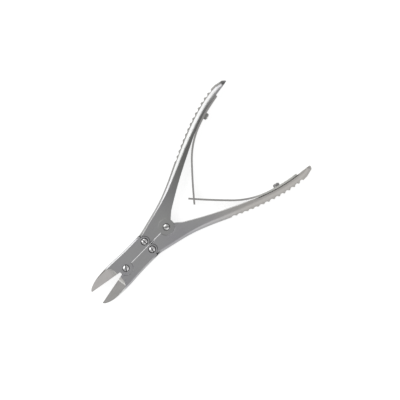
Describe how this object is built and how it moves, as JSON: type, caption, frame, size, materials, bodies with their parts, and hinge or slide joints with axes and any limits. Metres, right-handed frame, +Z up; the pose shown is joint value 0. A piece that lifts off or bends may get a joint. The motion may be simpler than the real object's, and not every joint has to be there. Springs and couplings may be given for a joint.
{
  "type": "bone cutting forceps",
  "caption": "Double action bone cutting forceps, lying open: two jaws with ground cutting blades, linked to two grooved handle levers that crossed leaf springs hold apart.",
  "frame": {"origin": "on the surface that the forceps lies on, below the middle of its length, on its centre line", "axes": "+X runs from the handles to the blades, +Y to the left handle, +Z up out of the screw heads"},
  "size_m": [0.1856, 0.0956, 0.01],
  "materials": {
    "lever_steel": "satin stainless steel, brushed along the handles",
    "jaw_steel": "satin stainless steel, ground on the bevels",
    "screw_steel": "polished stainless steel",
    "spring_steel": "satin spring steel"
  },
  "bodies": {
    "left_lever": {"lever_left": "lever_steel", "rear_pivot_screw": "screw_steel", "leaf_spring_left": "spring_steel", "spring_screw_left": "screw_steel"},
    "right_lever": {"lever_right": "lever_steel", "leaf_spring_right": "spring_steel", "spring_screw_right": "screw_steel"},
    "left_jaw": {"jaw_left": "jaw_steel", "link_screw_left": "screw_steel", "front_pivot_screw": "screw_steel"},
    "right_jaw": {"jaw_right": "jaw_steel", "link_screw_right": "screw_steel"}
  },
  "joints": [
    {"name": "handle_pivot", "type": "hinge", "parent": "left_lever", "child": "right_lever", "pos_m": [0.01789, 0, 0.005], "axis": [0, 0, -1], "range_deg": [0, 25.52], "stiffness_Nm_per_rad": 2.5, "springref_deg": -8.59, "deforming": ["leaf_spring_left", "leaf_spring_right"]},
    {"name": "left_link", "type": "hinge", "parent": "left_lever", "child": "left_jaw", "pos_m": [0.03739, 0.0041, 0.005], "axis": [0, 0, -1], "range_deg": [0, 23.02]},
    {"name": "right_link", "type": "hinge", "parent": "right_lever", "child": "right_jaw", "pos_m": [0.03739, -0.0041, 0.005], "axis": [0, 0, 1], "range_deg": [0, 23.02]}
  ],
  "couplings": [
    {"joint": "left_link", "follows": "handle_pivot", "ratio": 0.90171},
    {"joint": "right_link", "follows": "handle_pivot", "ratio": 0.90171}
  ]
}
